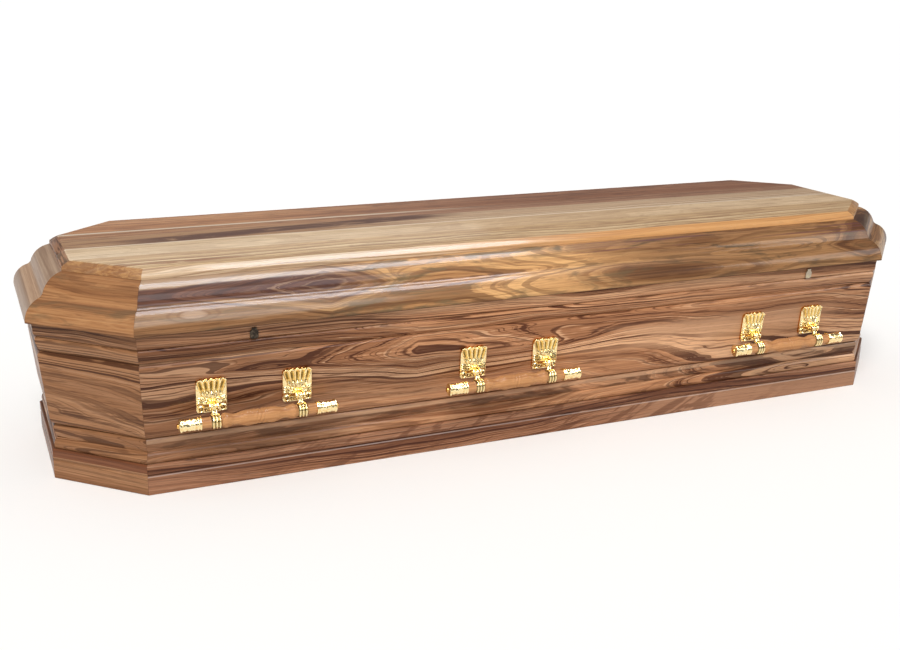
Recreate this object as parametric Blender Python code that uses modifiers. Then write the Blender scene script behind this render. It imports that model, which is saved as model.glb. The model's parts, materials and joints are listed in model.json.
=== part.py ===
"""Octagonal timber coffin: a splayed box with clipped corners, a raised lid and six bar handles.

The long sides run along X, the front faces -Y, and the ground is Z = 0. Profiles are lists of
(out, up): out is the distance beyond the flat of the lid panel, square to each of the eight
sides, and up is the height. Each length of board or moulding is one profile drawn between the
mitre planes at its two corners.
"""
import math

import bmesh
import bpy
from mathutils import Euler, Matrix, Vector

# Plan of the lid panel's flat top, in metres
TOP_LENGTH = 1.8732
TOP_WIDTH = 0.4486
CLIP_ALONG = 0.1157
CLIP_ACROSS = 0.1112

# Box
RIM_HEIGHT = 0.3180
WALL_RIM_OUT = 0.0818
WALL_FOOT_OUT = 0.0522
WALL_THICKNESS = 0.0200
FLOOR_THICKNESS = 0.0180
FRIEZE_BAND = 0.0290
FRIEZE_ROUND = 0.0110
FRIEZE_BEAD = 0.0290
PANEL_ROUND = 0.0100
FRIEZE_GROOVE = 0.0045
PANEL_GROOVE = 0.0069
FOOT_ROUND = 0.0120
FOOT_BEAD = 0.0280
LOWER_BEAD = 0.0220
FOOT_GROOVE = 0.0080
BEAD_RISE = 0.0043
EDGE_RISE = 0.0018

# Skirt round the foot of the box
SKIRT_HEIGHT = 0.0600
SKIRT_LEDGE = 0.0045
SKIRT_FACE = 0.0018
PLINTH_HEIGHT = 0.0370
QUIRK = 0.0020

# Lid
HEIGHT = 0.4223
LID_BOARD = 0.0180
LID_NOSE_OUT = 0.0183
LID_BEVEL_OUT = 0.0157
LID_BEVEL_DROP = 0.0093
LID_NOSE_DROP = 0.0123
LID_LEDGE = 0.0230
LID_VALLEY_OUT = 0.0575
LID_VALLEY_RISE = 0.0450
LID_FOOT_OUT = 0.0925
LID_FOOT_WIDTH = 0.0320
UPPER_ROLL = 0.0086
LOWER_ROLL = 0.0102
INNER_STEP = 0.0120

# Lid catches, on the frieze band
LEFT_CATCH_INSET = 0.1814
RIGHT_CATCH_INSET = 0.1673
CATCH_BELOW_RIM = 0.0160
CATCH_WIDTH = 0.0158
CATCH_NECK = 0.0094
CATCH_HEIGHT = 0.0220
CATCH_THICKNESS = 0.0026
CATCH_CORNER = 0.0030

# Handles
LEFT_HANDLE_INSET = 0.1809
RIGHT_HANDLE_INSET = 0.2239
MIDDLE_HANDLE_X = -0.1030
HANDLE_BELOW_PANEL = 0.0620
PLATE_PITCH = 0.1650
PLATE_WIDTH = 0.0580
PLATE_HEIGHT = 0.0690
PLATE_RIM = 0.0060
PLATE_CROWN = 0.0100
FLUTES = 5
FLUTE_SINK = 0.0030
SCALLOP = 0.0022
PLATE_CORNER = 0.0080
PIVOT_OUT = 0.0210
PIVOT_DROP = 0.0160
KNUCKLE_RADIUS = 0.0063
KNUCKLE_WIDTH = 0.0106
CHEEK_RADIUS = 0.0078
CHEEK_THICKNESS = 0.0034
PIN_RADIUS = 0.0020
ARM_OUT = 0.0160
ARM_DROP = 0.0230
NECK_THICKNESS = 0.0080
HEEL_ANGLE = math.radians(-55)
COLLAR_WIDTH = 0.0190
COLLAR_WALL = 0.0030
COLLAR_CHAMFER = 0.0012
BAR_LENGTH = 0.3100
BAR_RADIUS = 0.0110
BAR_SWELL = 0.0144
BAR_SHOULDER = 0.0060
BAR_WAIST = 0.0102
BAR_PINCH = 0.0134
BAR_END_RADIUS = 0.0100
TIP_LENGTH = 0.0450
TIP_RADIUS = 0.0128
BUTTON_RADIUS = 0.0050
BUTTON_LENGTH = 0.0060
ROUND_SIDES = 12

# Clearances
JOINT_GAP = 0.0003
TURN_GAP = 0.0004

SIDES = ("front", "front_right", "right_end", "back_right", "back", "back_left", "left_end", "front_left")


def clear_scene():
    for thing in list(bpy.data.objects):
        bpy.data.objects.remove(thing, do_unlink=True)


def new_collection(name):
    collection = bpy.data.collections.new(name)
    bpy.context.scene.collection.children.link(collection)
    return collection


def finish(name, colour, roughness, metallic=0.0):
    material = bpy.data.materials.new(name)
    material.use_nodes = True
    shader = material.node_tree.nodes["Principled BSDF"]
    shader.inputs["Base Color"].default_value = (*colour, 1.0)
    shader.inputs["Roughness"].default_value = roughness
    shader.inputs["Metallic"].default_value = metallic
    return material


def place(name, mesh, material, collection, parent=None):
    """Puts one piece of the coffin in its collection."""
    piece = bpy.data.objects.new(name, mesh)
    if not mesh.materials:
        mesh.materials.append(material)
    collection.objects.link(piece)
    piece.parent = parent
    return piece


def empty(name, collection, location=(0, 0, 0), rotation=(0, 0, 0), parent=None):
    holder = bpy.data.objects.new(name, None)
    collection.objects.link(holder)
    holder.location = location
    holder.rotation_euler = Euler(rotation)
    holder.parent = parent
    return holder


def mesh_from(bm, name):
    bmesh.ops.recalc_face_normals(bm, faces=bm.faces)
    mesh = bpy.data.meshes.new(name)
    bm.to_mesh(mesh)
    bm.free()
    return mesh


# Plan

def plan_points():
    """Corners of the lid panel's flat top, counter-clockwise from the front's left end."""
    x = TOP_LENGTH / 2
    y = TOP_WIDTH / 2
    clipped_x = x - CLIP_ALONG
    clipped_y = y - CLIP_ACROSS
    right = [(clipped_x, -y), (x, -clipped_y), (x, clipped_y), (clipped_x, y)]
    left = [(-px, -py) for px, py in right]
    return [Vector(point) for point in [left[3]] + right + left[:3]]


def side_direction(side):
    points = plan_points()
    return (points[(side + 1) % len(SIDES)] - points[side % len(SIDES)]).normalized()


def side_normal(side):
    along = side_direction(side)
    return Vector((along.y, -along.x))


def corner(index, out):
    """The plan corner where a line that runs out beyond each side meets its neighbour."""
    before = side_normal(index - 1)
    after = side_normal(index)
    return plan_points()[index % len(SIDES)] + (before + after) * out / (1 + before.dot(after))


def half_turn(index):
    """Half the angle by which the plan turns at a corner."""
    return side_direction(index - 1).angle(side_direction(index)) / 2


def mitred_run(side, profile, name):
    """A closed profile drawn along one side of the plan, mitred at both corners."""
    along = side_direction(side)
    bm = bmesh.new()
    ends = []
    for index, inward in ((side, 1), (side + 1, -1)):
        ease = along * inward * JOINT_GAP / 2 / math.cos(half_turn(index))
        plan = [corner(index, out) + ease for out, up in profile]
        ends.append([bm.verts.new((p.x, p.y, up)) for p, (out, up) in zip(plan, profile)])
    near, far = ends
    count = len(profile)
    for i in range(count):
        j = (i + 1) % count
        bm.faces.new((near[i], near[j], far[j], far[i]))
    bm.faces.new(near)
    bm.faces.new(far)
    return mesh_from(bm, name)


def octagon_board(levels, name):
    """A board on the whole plan, lofted through (out, up) levels from its top face down."""
    bm = bmesh.new()
    rings = []
    for out, up in levels:
        plan = [corner(index, out) for index in range(len(SIDES))]
        rings.append([bm.verts.new((p.x, p.y, up)) for p in plan])
    for upper, lower in zip(rings, rings[1:]):
        for i in range(len(SIDES)):
            j = (i + 1) % len(SIDES)
            bm.faces.new((upper[i], upper[j], lower[j], lower[i]))
    bm.faces.new(rings[0])
    bm.faces.new(rings[-1])
    return mesh_from(bm, name)


def arc(start, end, rise, steps):
    """Points after start, up to and with end, on an arc that rises to the left of the chord."""
    a = Vector(start)
    b = Vector(end)
    chord = b - a
    half = chord.length / 2
    along = chord.normalized()
    left = Vector((-along.y, along.x))
    radius = (half * half + rise * rise) / (2 * rise)
    centre = (a + b) / 2 + left * (rise - radius)
    spread = math.asin(half / radius)
    points = []
    for step in range(1, steps + 1):
        angle = spread * (2 * step / steps - 1)
        points.append(tuple(centre + (along * math.sin(angle) + left * math.cos(angle)) * radius))
    return points


# Box

def wall_out(up):
    """The splayed wall's outer plane."""
    return WALL_FOOT_OUT + (WALL_RIM_OUT - WALL_FOOT_OUT) * up / RIM_HEIGHT


def splay():
    return math.atan((WALL_RIM_OUT - WALL_FOOT_OUT) / RIM_HEIGHT)


def wall_inner(up):
    return wall_out(up) - WALL_THICKNESS / math.cos(splay())


def panel_top():
    """Height of the plain panel's upper edge, below the frieze band and its bead."""
    return RIM_HEIGHT - FRIEZE_BAND - FRIEZE_BEAD - PANEL_ROUND


def wall_profile():
    """Frieze band and bead, plain panel, two beads above the skirt, then flat behind the skirt."""
    def face(up, depth=0.0):
        return (wall_out(up) - depth, up)

    frieze = RIM_HEIGHT - FRIEZE_BAND
    panel_groove = frieze - FRIEZE_BEAD
    lower = SKIRT_HEIGHT + LOWER_BEAD
    foot = lower + FOOT_BEAD
    band_edge = face(frieze + FRIEZE_ROUND)
    outline = [face(RIM_HEIGHT), band_edge]
    outline += arc(band_edge, face(frieze, FRIEZE_GROOVE), EDGE_RISE, 2)
    outline += arc(face(frieze, FRIEZE_GROOVE), face(panel_groove, PANEL_GROOVE), BEAD_RISE, 4)
    outline += arc(face(panel_groove, PANEL_GROOVE), face(panel_top()), EDGE_RISE, 3)
    panel_foot = face(foot + FOOT_ROUND)
    outline += [panel_foot]
    outline += arc(panel_foot, face(foot, FOOT_GROOVE), EDGE_RISE, 3)
    outline += arc(face(foot, FOOT_GROOVE), face(lower, FOOT_GROOVE), BEAD_RISE, 4)
    outline += arc(face(lower, FOOT_GROOVE), face(SKIRT_HEIGHT), BEAD_RISE, 4)
    outline += [face(0.0)]
    return outline + [(wall_inner(0.0), 0.0), (wall_inner(RIM_HEIGHT), RIM_HEIGHT)]


def skirt_profile():
    """Plinth with a rounded top edge, a narrow groove and an upper band with a ledge."""
    back = JOINT_GAP / math.cos(splay())
    ledge = wall_out(SKIRT_HEIGHT) + SKIRT_LEDGE
    face = ledge + SKIRT_FACE
    groove_top = PLINTH_HEIGHT + 2 * QUIRK
    outline = [(ledge, SKIRT_HEIGHT), (face, SKIRT_HEIGHT - 2 * SKIRT_FACE)]
    outline += [(face, groove_top), (face - QUIRK, groove_top - QUIRK / 2)]
    outline += [(face - QUIRK, PLINTH_HEIGHT), (face, PLINTH_HEIGHT - QUIRK)]
    outline += [(face, 0.0), (wall_out(0.0) + back, 0.0)]
    return outline + [(wall_out(SKIRT_HEIGHT) + back, SKIRT_HEIGHT)]


def floor_levels():
    return [(wall_inner(up) - JOINT_GAP / math.cos(splay()), up) for up in (FLOOR_THICKNESS, 0.0)]


# Lid

def panel_levels():
    edge = [(LID_BEVEL_OUT, HEIGHT - LID_BEVEL_DROP), (LID_NOSE_OUT - QUIRK / 4, HEIGHT - LID_NOSE_DROP)]
    return [(0.0, HEIGHT)] + edge + [(LID_NOSE_OUT, HEIGHT - LID_BOARD)]


def moulding_profile():
    """Two convex rolls, one above the other, with the board's ledge on top and a hollow back."""
    top = HEIGHT - LID_BOARD - JOINT_GAP
    foot = RIM_HEIGHT + JOINT_GAP
    shoulder = (LID_NOSE_OUT, top)
    valley = (LID_VALLEY_OUT, RIM_HEIGHT + LID_VALLEY_RISE)
    inner_top = LID_NOSE_OUT - LID_LEDGE
    inner_foot = LID_FOOT_OUT - LID_FOOT_WIDTH
    outline = [shoulder]
    outline += arc(shoulder, valley, UPPER_ROLL, 6)
    outline += arc(valley, (LID_FOOT_OUT, foot), LOWER_ROLL, 6)
    outline += [(inner_foot, foot), (inner_foot, foot + INNER_STEP)]
    return outline + [(inner_top, top - INNER_STEP), (inner_top, top)]


# Shapes for the fittings

def prism(outline, width, name):
    """An outline in the Y-Z plane, given as (y, z), extruded to a width centred on X = 0."""
    bm = bmesh.new()
    face = bm.faces.new([bm.verts.new((-width / 2, y, z)) for y, z in outline])
    grown = bmesh.ops.extrude_face_region(bm, geom=[face])
    moved = [item for item in grown["geom"] if isinstance(item, bmesh.types.BMVert)]
    bmesh.ops.translate(bm, verts=moved, vec=(width, 0, 0))
    return mesh_from(bm, name)


def rod(radius, length, sides, name):
    """A round rod along X."""
    bm = bmesh.new()
    bmesh.ops.create_cone(bm, cap_ends=True, segments=sides, radius1=radius, radius2=radius, depth=length)
    bmesh.ops.rotate(bm, verts=bm.verts, matrix=Euler((0, math.pi / 2, 0)).to_matrix())
    return mesh_from(bm, name)


def profile_mesh(points, closed, name):
    """The line that a Screw modifier turns about Z."""
    bm = bmesh.new()
    line = [bm.verts.new((radius, 0, up)) for radius, up in points]
    for a, b in zip(line, line[1:]):
        bm.edges.new((a, b))
    if closed:
        bm.edges.new((line[-1], line[0]))
    mesh = bpy.data.meshes.new(name)
    bm.to_mesh(mesh)
    bm.free()
    return mesh


def add_screw(piece):
    screw = piece.modifiers.new("turned", "SCREW")
    screw.axis = "Z"
    screw.steps = ROUND_SIDES
    screw.render_steps = ROUND_SIDES
    screw.use_merge_vertices = True
    screw.merge_threshold = 0.00005
    screw.use_smooth_shade = True


def evaluated_mesh(piece, name):
    bpy.context.view_layer.update()
    graph = bpy.context.evaluated_depsgraph_get()
    bm = bmesh.new()
    bm.from_object(piece, graph)
    return mesh_from(bm, name)


def combine(base, steps, cutters, name):
    """The mesh of one object after a row of Boolean joins and cuts with helper meshes."""
    main = bpy.data.objects.new(name + "_blank", base)
    cutters.objects.link(main)
    helpers = [main]
    for number, (operation, mesh, offset) in enumerate(steps):
        helper = bpy.data.objects.new(name + "_helper_" + str(number), mesh)
        helper.location = offset
        cutters.objects.link(helper)
        helpers.append(helper)
        boolean = main.modifiers.new("step_" + str(number), "BOOLEAN")
        boolean.operation = operation
        boolean.object = helper
    mesh = evaluated_mesh(main, name)
    for helper in helpers:
        bpy.data.objects.remove(helper, do_unlink=True)
    return mesh


# Handle plate

def plate_outline():
    """Scalloped head, straight flanks and rounded foot, as (across, up) from the plate's centre.

    The second list says how far each point's spoke stands above or below the plain relief.
    """
    half = PLATE_WIDTH / 2
    top = PLATE_HEIGHT / 2
    points = []
    relief = []
    for step in range(2 * FLUTES + 1):
        crown = step % 2
        across = half - PLATE_WIDTH * step / (2 * FLUTES)
        points.append((across, top - SCALLOP * (1 - crown)))
        relief.append(-FLUTE_SINK if crown else 0.0008)
    flank = [(-half, 0.25 * top), (-half, -0.28 * top), (-half, PLATE_CORNER - top)]
    foot = [(PLATE_CORNER - half, -top), (0.0, -top)]
    points += flank + foot + [(-across, up) for across, up in reversed(flank + foot[:1])]
    relief += [0.0008, -0.0012, 0.0004, 0.0004, -0.0020, 0.0004, 0.0004, -0.0012, 0.0008]
    return points, relief


def plate_relief():
    """Solid plate, deepest at the foot of the fan, with flutes sunk between ridges."""
    points, relief = plate_outline()
    hub = Vector((0.0, -PIVOT_DROP + CHEEK_RADIUS / 2))
    bm = bmesh.new()
    rings = []
    for scale, height, carved in ((1.0, 0.0, 0.0), (1.0, PLATE_RIM, 0.0),
                                  (0.9, PLATE_RIM + 0.0010, 0.2), (0.52, PLATE_CROWN - 0.0022, 1.0)):
        ring = []
        for (across, up), rise in zip(points, relief):
            spot = hub + (Vector((across, up)) - hub) * scale
            ring.append(bm.verts.new((spot.x, -height - rise * carved, spot.y)))
        rings.append(ring)
    count = len(points)
    for lower, upper in zip(rings, rings[1:]):
        for i in range(count):
            j = (i + 1) % count
            bm.faces.new((lower[i], lower[j], upper[j], upper[i]))
    crest = bm.verts.new((hub.x, -PLATE_CROWN, hub.y))
    for i in range(count):
        bm.faces.new((rings[-1][i], rings[-1][(i + 1) % count], crest))
    bm.faces.new(rings[0])
    return mesh_from(bm, "plate_relief")


def cheek_outline():
    """Side view of one lug: square at the plate, round over the pin."""
    root = PLATE_RIM / 2
    low = (-root, -PIVOT_DROP - CHEEK_RADIUS)
    high = (-root, -PIVOT_DROP + CHEEK_RADIUS)
    nose = arc((-PIVOT_OUT, high[1]), (-PIVOT_OUT, low[1]), -CHEEK_RADIUS * 0.999, 4)
    return [low, high, (-PIVOT_OUT, high[1])] + nose


def plate_mesh(cutters):
    """Plate with two cheeks, the saddle behind the knuckle and the hinge pin."""
    inner = KNUCKLE_WIDTH / 2 + TURN_GAP
    middle = inner + CHEEK_THICKNESS / 2
    saddle_front = PIVOT_OUT - KNUCKLE_RADIUS - TURN_GAP
    saddle = [(-PLATE_RIM / 2, -PIVOT_DROP - 0.006), (-PLATE_RIM / 2, -PIVOT_DROP + 0.006)]
    saddle += [(-saddle_front, -PIVOT_DROP + 0.006), (-saddle_front, -PIVOT_DROP - 0.006)]
    cheek = prism(cheek_outline(), CHEEK_THICKNESS, "cheek")
    steps = [("UNION", prism(saddle, 2 * inner + CHEEK_THICKNESS, "saddle"), (0, 0, 0))]
    steps += [("UNION", cheek, (side * middle, 0, 0)) for side in (-1, 1)]
    pin = rod(PIN_RADIUS, 2 * inner + CHEEK_THICKNESS, 8, "pin")
    steps.append(("UNION", pin, (0, -PIVOT_OUT, -PIVOT_DROP)))
    return combine(plate_relief(), steps, cutters, "handle_plate")


# Handle arm

def arm_mesh(cutters):
    """Knuckle, neck and collar in one casting, with its origin on the hinge axis.

    The corner of the heel bears on the saddle when the handle is down.
    """
    down = Vector((-ARM_OUT, -ARM_DROP)).normalized()
    front = Vector((down.y, -down.x))
    reach = math.hypot(ARM_OUT, ARM_DROP) - BAR_RADIUS - COLLAR_WALL / 2
    half = NECK_THICKNESS / 2
    heel_reach = (KNUCKLE_RADIUS + TURN_GAP - JOINT_GAP) / math.sin(-HEEL_ANGLE)
    heel = Vector((-math.sin(HEEL_ANGLE), -math.cos(HEEL_ANGLE))) * heel_reach
    first = math.atan2(front.y, front.x)
    last = math.atan2(heel.y, heel.x)
    outline = [down * reach + front * half]
    turns = 6
    for step in range(turns):
        angle = first + (last - first) * step / turns
        outline.append(Vector((math.cos(angle), math.sin(angle))) * KNUCKLE_RADIUS)
    outline += [heel, down * reach - front * half]
    neck = prism([tuple(point) for point in outline], KNUCKLE_WIDTH, "neck")
    inner = BAR_RADIUS + JOINT_GAP
    outer = inner + COLLAR_WALL
    half_width = COLLAR_WIDTH / 2
    section = [(outer - COLLAR_CHAMFER, half_width), (outer, half_width - COLLAR_CHAMFER)]
    section += [(outer, COLLAR_CHAMFER - half_width), (outer - COLLAR_CHAMFER, -half_width)]
    section += [(inner, -half_width), (inner, half_width)]
    ring = bpy.data.objects.new("ring_blank", profile_mesh(section, True, "ring_line"))
    cutters.objects.link(ring)
    add_screw(ring)
    ring_mesh = evaluated_mesh(ring, "ring")
    bpy.data.objects.remove(ring, do_unlink=True)
    ring_mesh.transform(Euler((0, math.pi / 2, 0)).to_matrix().to_4x4())
    bore = rod(PIN_RADIUS + 1.5 * TURN_GAP, 2 * KNUCKLE_WIDTH, 8, "bore")
    steps = [("UNION", ring_mesh, (0, -ARM_OUT, -ARM_DROP)), ("DIFFERENCE", bore, (0, 0, 0))]
    return combine(neck, steps, cutters, "handle_arm")


def bar_points():
    """Half of the turned bar from its end to the middle, as (radius, distance from the middle).

    Each collar slides on over the slim end and stops at the shoulder; the cap follows.
    """
    end = BAR_LENGTH / 2
    wood = end - TIP_LENGTH
    collar_edge = (PLATE_PITCH - COLLAR_WIDTH) / 2
    collar_far = (PLATE_PITCH + COLLAR_WIDTH) / 2
    tip = [(0.0, end), (BUTTON_RADIUS, end), (TIP_RADIUS, end - BUTTON_LENGTH), (TIP_RADIUS, wood)]
    seat = [(BAR_END_RADIUS, wood), (BAR_RADIUS, collar_far), (BAR_RADIUS, collar_edge - JOINT_GAP)]
    shoulder = [(BAR_SWELL, collar_edge - BAR_SHOULDER)]
    return tip + seat + shoulder + [(BAR_WAIST, 0.60 * collar_edge), (BAR_SWELL, 0.28 * collar_edge)]


def bar_mesh():
    half = bar_points()
    other = [(radius, -up) for radius, up in reversed(half)]
    return profile_mesh(half + [(BAR_PINCH, 0.0)] + other, False, "handle_bar")


# Assembly

def build_box(parts, timber):
    for side, label in enumerate(SIDES):
        place("wall_" + label, mitred_run(side, wall_profile(), "wall_" + label), timber["wall"], parts)
        place("skirt_" + label, mitred_run(side, skirt_profile(), "skirt_" + label), timber["skirt"], parts)
    place("floor_board", octagon_board(floor_levels(), "floor_board"), timber["floor"], parts)


def build_lid(parts, timber):
    for side, label in enumerate(SIDES):
        name = "lid_moulding_" + label
        place(name, mitred_run(side, moulding_profile(), name), timber["lid"], parts)
    place("lid_panel", octagon_board(panel_levels(), "lid_panel"), timber["panel"], parts)


def build_seat(parts, name, x, up, back):
    """An empty on the wall's outer plane, Z up the wall and -Y straight out of it."""
    y = -TOP_WIDTH / 2 - wall_out(up) - JOINT_GAP / math.cos(splay())
    location = (x, -y if back else y, up)
    return empty(name, parts, location, (splay(), 0, math.pi if back else 0))


def build_catch(parts, metal, name, x, back, mesh):
    seat = build_seat(parts, name + "_seat", x, RIM_HEIGHT - CATCH_BELOW_RIM, back)
    piece = place(name, mesh, metal, parts, seat)
    piece.rotation_euler = Euler((0, 0, -math.pi / 2))


def catch_mesh():
    """Small keeper plate: a narrow neck under the lid and a wider foot with cut corners."""
    half = CATCH_WIDTH / 2
    neck = CATCH_NECK / 2
    top = CATCH_HEIGHT / 2
    shoulder = 0.3 * top
    right = [(neck, top), (neck, shoulder + CATCH_CORNER), (half, shoulder)]
    right += [(half, CATCH_CORNER - top), (half - CATCH_CORNER, -top)]
    left = [(-across, up) for across, up in reversed(right)]
    mesh = prism(right + left, CATCH_THICKNESS, "lid_catch")
    mesh.transform(Matrix.Translation((CATCH_THICKNESS / 2, 0, 0)))
    return mesh


def build_handle(parts, metal, bar_finish, name, x, back, meshes):
    seat = build_seat(parts, name + "_seat", x, panel_top() - HANDLE_BELOW_PANEL, back)
    swing = empty(name + "_swing", parts, (0, -PIVOT_OUT, -PIVOT_DROP), parent=seat)
    for label, side in (("left", -1), ("right", 1)):
        plate = place(name + "_plate_" + label, meshes["plate"], metal, parts, seat)
        plate.location.x = side * PLATE_PITCH / 2
        arm = place(name + "_arm_" + label, meshes["arm"], metal, parts, swing)
        arm.location.x = side * PLATE_PITCH / 2
    bar = place(name + "_bar", meshes["bar"], bar_finish, parts, swing)
    bar.location = (0, -ARM_OUT, -ARM_DROP)
    bar.rotation_euler = Euler((0, math.pi / 2, 0))
    add_screw(bar)


def main():
    clear_scene()
    parts = new_collection("Timber coffin")
    cutters = new_collection("Cutters")
    timber = {
        "wall": finish("wall timber", (0.27, 0.14, 0.065), 0.28),
        "skirt": finish("skirt timber", (0.25, 0.115, 0.055), 0.28),
        "lid": finish("lid moulding timber", (0.33, 0.18, 0.075), 0.24),
        "panel": finish("lid panel timber", (0.38, 0.22, 0.095), 0.24),
        "floor": finish("floor timber", (0.42, 0.29, 0.16), 0.55),
    }
    gold = finish("polished gold metal", (0.90, 0.66, 0.22), 0.16, 1.0)
    bronze = finish("smoked bronze", (0.30, 0.24, 0.16), 0.35, 1.0)
    bar_finish = finish("bar timber", (0.52, 0.30, 0.14), 0.40)
    build_box(parts, timber)
    build_lid(parts, timber)
    catch = catch_mesh()
    meshes = {"plate": plate_mesh(cutters), "arm": arm_mesh(cutters), "bar": bar_mesh()}
    long_side = TOP_LENGTH / 2 - CLIP_ALONG
    catches = {"left": LEFT_CATCH_INSET - long_side, "right": long_side - RIGHT_CATCH_INSET}
    handles = {"left": LEFT_HANDLE_INSET - long_side, "middle": MIDDLE_HANDLE_X}
    handles["right"] = long_side - RIGHT_HANDLE_INSET
    for face, back in (("front", False), ("back", True)):
        for label, x in catches.items():
            build_catch(parts, bronze, "lid_catch_" + face + "_" + label, x, back, catch)
        for label, x in handles.items():
            build_handle(parts, gold, bar_finish, "handle_" + face + "_" + label, x, back, meshes)


main()
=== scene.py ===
"""Looks of the octagonal timber coffin: lacquered boards and mouldings, gilt handles, studio."""
import json
import math

import bmesh
import bpy
from mathutils import Euler, Matrix, Vector


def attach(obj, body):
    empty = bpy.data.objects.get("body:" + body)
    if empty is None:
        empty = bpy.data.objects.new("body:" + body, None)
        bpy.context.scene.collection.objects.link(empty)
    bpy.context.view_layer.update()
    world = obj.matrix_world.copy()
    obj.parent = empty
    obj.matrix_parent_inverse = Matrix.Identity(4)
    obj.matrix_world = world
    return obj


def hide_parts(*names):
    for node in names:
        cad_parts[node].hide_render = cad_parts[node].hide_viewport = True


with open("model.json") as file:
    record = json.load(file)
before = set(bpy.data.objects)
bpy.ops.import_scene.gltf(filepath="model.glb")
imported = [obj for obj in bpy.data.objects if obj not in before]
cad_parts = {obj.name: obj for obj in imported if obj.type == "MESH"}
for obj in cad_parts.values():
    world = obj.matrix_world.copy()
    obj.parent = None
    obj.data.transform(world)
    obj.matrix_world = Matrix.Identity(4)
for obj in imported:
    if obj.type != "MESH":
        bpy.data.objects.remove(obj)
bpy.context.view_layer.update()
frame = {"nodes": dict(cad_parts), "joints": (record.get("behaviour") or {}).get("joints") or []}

# Plan and heights of the box and the lid, as in the part
SIDES = ("front", "front_right", "right_end", "back_right", "back", "back_left", "left_end", "front_left")
TOP_LENGTH = 1.8732
TOP_WIDTH = 0.4486
CLIP_ALONG = 0.1157
CLIP_ACROSS = 0.1112
JOINT_GAP = 0.0003
RIM_HEIGHT = 0.318
WALL_RIM_OUT = 0.0818
WALL_FOOT_OUT = 0.0522
WALL_THICKNESS = 0.02
FRIEZE_BAND = 0.029
FRIEZE_ROUND = 0.011
FRIEZE_BEAD = 0.029
PANEL_ROUND = 0.01
FRIEZE_GROOVE = 0.0045
PANEL_GROOVE = 0.0069
FOOT_ROUND = 0.012
FOOT_BEAD = 0.028
LOWER_BEAD = 0.022
FOOT_GROOVE = 0.008
BEAD_RISE = 0.0043
EDGE_RISE = 0.0018
LIP_RISE = 0.0018
FRIEZE_SAG = 0.0007
FOOT_SAG = 0.0008
SKIRT_RISE = 0.0009
PLINTH_RISE = 0.0008
BEVEL_RISE = 0.0006
SKIRT_HEIGHT = 0.06
SKIRT_LEDGE = 0.0045
SKIRT_FACE = 0.0018
PLINTH_HEIGHT = 0.037
QUIRK = 0.002
HEIGHT = 0.4223
LID_BOARD = 0.018
LID_NOSE_OUT = 0.0183
LID_BEVEL_OUT = 0.0157
LID_BEVEL_DROP = 0.0093
LID_NOSE_DROP = 0.0123
LID_LEDGE = 0.023
LID_VALLEY_OUT = 0.0575
LID_VALLEY_RISE = 0.045
LID_FOOT_OUT = 0.0925
LID_FOOT_WIDTH = 0.032
UPPER_ROLL = 0.0086
LOWER_ROLL = 0.0102
INNER_STEP = 0.012
EDGE_ROUND = 0.0007
VALLEY_EASE = 0.007
BEAD_LIP_OUT = 0.004
BEAD_LIP_DOWN = 0.01
PLINTH_ROUND = 0.0026
RIM_SHADE = 0.0035

# Handle, as in the part
PLATE_PITCH = 0.165
PLATE_WIDTH = 0.058
PLATE_HEIGHT = 0.069
PLATE_RIM = 0.006
FLUTES = 5
SCALLOP = 0.0022
PLATE_CORNER = 0.008
PIVOT_OUT = 0.021
PIVOT_DROP = 0.016
KNUCKLE_RADIUS = 0.0063
KNUCKLE_WIDTH = 0.0106
CHEEK_RADIUS = 0.0078
CHEEK_THICKNESS = 0.0034
PIN_RADIUS = 0.002
ARM_OUT = 0.016
ARM_DROP = 0.023
COLLAR_WIDTH = 0.019
COLLAR_WALL = 0.003
BAR_LENGTH = 0.31
BAR_RADIUS = 0.011
TIP_LENGTH = 0.045
TURN_GAP = 0.0004

# Finer relief, in the scene alone
RIB_PITCH = 0.0062
RIB_WIDTH = 0.0018
RIB_RISE = 0.0023
RIB_GROOVE = 0.0021
COLLAR_LIP = 0.0006
KNUCKLE_WAIST = 0.0007
HOLLOW_ANGLE = math.radians(14)

# Camera, solved from the photo's mitre lines
CAMERA_AT = Vector((-1.1286, -2.3117, 0.9405))
CAMERA_YAW = math.radians(23.8386)
CAMERA_PITCH = math.radians(16.8887)
CAMERA_ROLL = math.radians(0.9227)
FOCAL_PIXELS = 1147.47
PHOTO_WIDTH = 900


def put_in_scene(name, data):
    thing = bpy.data.objects.new(name, data)
    bpy.context.scene.collection.objects.link(thing)
    return thing


def make_camera():
    forward = Vector((math.sin(CAMERA_YAW) * math.cos(CAMERA_PITCH),
                      math.cos(CAMERA_YAW) * math.cos(CAMERA_PITCH), -math.sin(CAMERA_PITCH)))
    level = Vector((math.cos(CAMERA_YAW), -math.sin(CAMERA_YAW), 0))
    upright = level.cross(forward)
    right = level * math.cos(CAMERA_ROLL) + upright * math.sin(CAMERA_ROLL)
    up = upright * math.cos(CAMERA_ROLL) - level * math.sin(CAMERA_ROLL)
    data = bpy.data.cameras.new("camera")
    data.sensor_width = 36
    data.lens = FOCAL_PIXELS / PHOTO_WIDTH * data.sensor_width
    camera = put_in_scene("camera", data)
    turn = Matrix((right, up, -forward)).transposed()
    camera.matrix_world = Matrix.Translation(CAMERA_AT) @ turn.to_4x4()
    bpy.context.scene.camera = camera


# Shader building

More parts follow.
